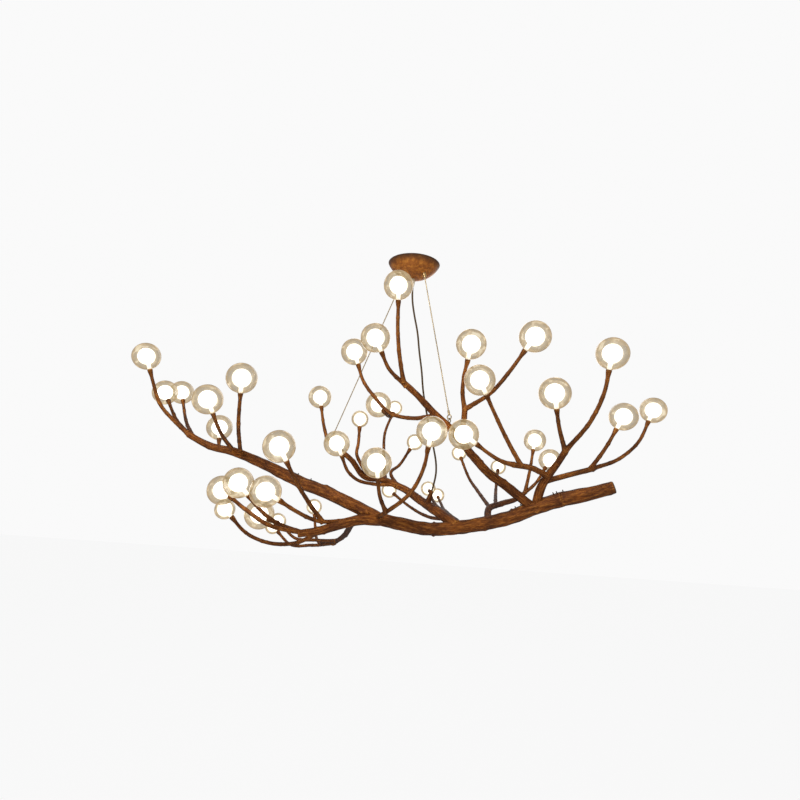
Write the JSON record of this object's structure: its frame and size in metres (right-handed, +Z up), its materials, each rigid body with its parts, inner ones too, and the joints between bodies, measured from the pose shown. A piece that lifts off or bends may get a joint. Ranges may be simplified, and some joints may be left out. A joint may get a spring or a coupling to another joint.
{
  "type": "branch chandelier",
  "caption": "Hanging light shaped like a bare branch: forking bark limbs with thin twigs, each ending in a clear glass globe round a lit inner ball, hung from a ceiling rose on cables.",
  "frame": {"origin": "centre of the ceiling plate's top face, which lies against the ceiling", "axes": "+Z up into the ceiling, +X to the right along the long branch as pictured, +Y away from the viewer"},
  "size_m": [2.0698, 1.1509, 1.1613],
  "materials": {
    "bark": "dark brown stained cast resin with a bark texture",
    "clear_glass": "clear mouth-blown seedy glass",
    "opal_glass": "satin opal glass",
    "ceramic": "white glazed ceramic",
    "plated_steel": "zinc plated steel",
    "patina_steel": "rust brown patina lacquer",
    "rubber": "white silicone rubber",
    "wire_cover": "white wire insulation",
    "brass": "nickel plated brass",
    "aluminium": "satin aluminium",
    "steel_cable": "stranded stainless wire",
    "cord_cover": "brown textile braid",
    "white_plastic": "white moulded plastic"
  },
  "bodies": {
    "rose": {"ceiling_plate": "plated_steel", "lock_nut": "plated_steel", "threaded_nipple": "plated_steel", "cord_gland": "white_plastic", "cord_top": "cord_cover", "canopy_cover": "patina_steel", "cable_grippers": "brass", "cable_tails": "steel_cable", "led_driver": "white_plastic", "terminal_block": "white_plastic"},
    "release_left": {"release_left": "brass"},
    "release_right": {"release_right": "brass"},
    "suspension": {"cable_left": "steel_cable", "cable_right": "steel_cable", "cable_loops": "steel_cable", "power_cord": "cord_cover"},
    "branch_frame": {"trunk": "bark", "butt_end": "bark", "left_knuckle": "bark", "left_limb": "bark", "front_limb": "bark", "back_limb": "bark", "crown_limb": "bark", "right_limb": "bark", "rear_limb": "bark", "far_limb": "bark", "low_limb": "bark", "cord_stub": "bark", "left_twigs": "bark", "front_twigs": "bark", "trunk_twigs": "bark", "crown_twigs": "bark", "right_twigs": "bark", "back_twigs": "bark", "rear_twigs": "bark", "far_twigs": "bark", "low_twigs": "bark", "left_globes": "clear_glass", "front_globes": "clear_glass", "trunk_globes": "clear_glass", "crown_globes": "clear_glass", "right_globes": "clear_glass", "back_globes": "clear_glass", "rear_globes": "clear_glass", "far_globes": "clear_glass", "low_globes": "clear_glass", "cord_bush": "rubber", "inner_diffusers": "opal_glass", "globe_washers": "rubber", "lamp_holders": "ceramic", "led_capsules": "clear_glass", "lamp_leads": "wire_cover", "limb_harness": "wire_cover", "spigots": "plated_steel", "set_screws": "plated_steel", "eye_bolts": "plated_steel"}
  },
  "joints": [
    {"name": "sway", "type": "hinge", "parent": "rose", "child": "suspension", "pos_m": [-0.0013, 0.00113, -0.06309], "axis": [0.7588, -0.6512, -0.0116], "range_deg": [-8, 8], "deforming": ["power_cord"]},
    {"name": "rock", "type": "hinge", "parent": "suspension", "child": "branch_frame", "pos_m": [-0.06436, 0.05576, -0.64754], "axis": [0.7541, -0.6473, 0.1112], "range_deg": [-6, 6]},
    {"name": "release_left", "type": "slide", "parent": "rose", "child": "release_left", "axis": [0.3441, -0.2961, 0.891], "range_m": [0, 0.002], "stiffness_N_per_m": 600},
    {"name": "release_right", "type": "slide", "parent": "rose", "child": "release_right", "axis": [-0.1968, 0.1681, 0.9659], "range_m": [0, 0.002], "stiffness_N_per_m": 600}
  ]
}
